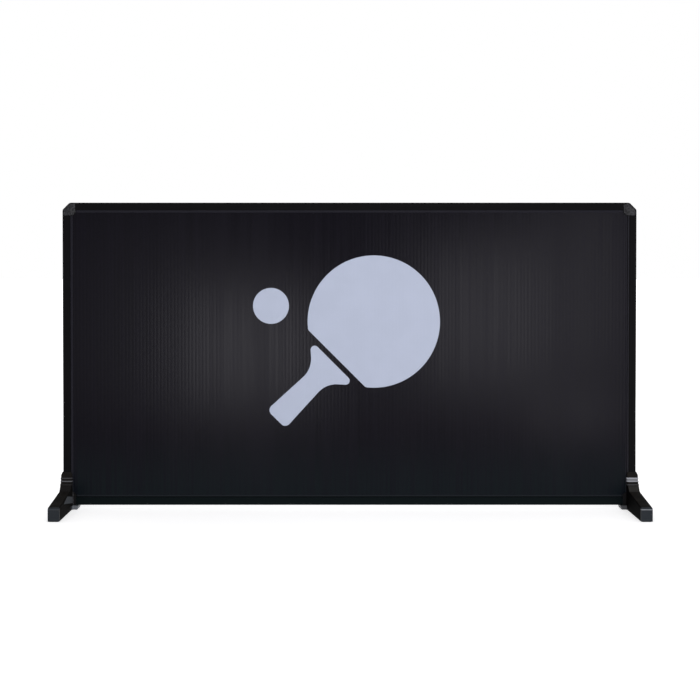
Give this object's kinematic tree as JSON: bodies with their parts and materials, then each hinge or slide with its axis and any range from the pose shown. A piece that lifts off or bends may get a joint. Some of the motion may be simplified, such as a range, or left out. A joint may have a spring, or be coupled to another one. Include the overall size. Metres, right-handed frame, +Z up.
{
  "type": "table tennis barrier",
  "caption": "Free-standing court barrier: a twin-wall panel in a slotted tube frame with corner connectors, standing on push-on feet.",
  "frame": {"origin": "on the floor, midway between the two feet and in the panel's middle plane", "axes": "+X along the barrier to the right seen from the front, +Y towards its back, +Z up; the front faces -Y"},
  "size_m": [1.4112, 0.36, 0.75],
  "materials": {
    "panel": "satin",
    "emblem": "matte",
    "frame": "satin black coat",
    "corner": "fine grain",
    "foot": "fine grain",
    "pad": "matte",
    "screw": "blackened"
  },
  "bodies": {
    "frame": {"panel_sheet": "panel", "emblem_blade": "emblem", "emblem_handle": "emblem", "emblem_ball": "emblem", "top_rail": "frame", "bottom_rail": "frame", "left_upright": "frame", "right_upright": "frame", "top_left_corner": "corner", "top_right_corner": "corner", "bottom_left_corner": "corner", "bottom_right_corner": "corner", "top_rail_left_screw": "screw", "top_rail_right_screw": "screw", "bottom_rail_left_screw": "screw", "bottom_rail_right_screw": "screw", "left_upright_top_screw": "screw", "left_upright_bottom_screw": "screw", "right_upright_top_screw": "screw", "right_upright_bottom_screw": "screw"},
    "left_foot": {"left_foot": "foot", "left_foot_front_pad": "pad", "left_foot_rear_pad": "pad"},
    "right_foot": {"right_foot": "foot", "right_foot_front_pad": "pad", "right_foot_rear_pad": "pad"}
  },
  "joints": [
    {"name": "left_foot_pull_off", "type": "slide", "parent": "frame", "child": "left_foot", "axis": [0, 0, -1], "range_m": [0, 0.1]},
    {"name": "right_foot_pull_off", "type": "slide", "parent": "frame", "child": "right_foot", "axis": [0, 0, -1], "range_m": [0, 0.1]}
  ]
}
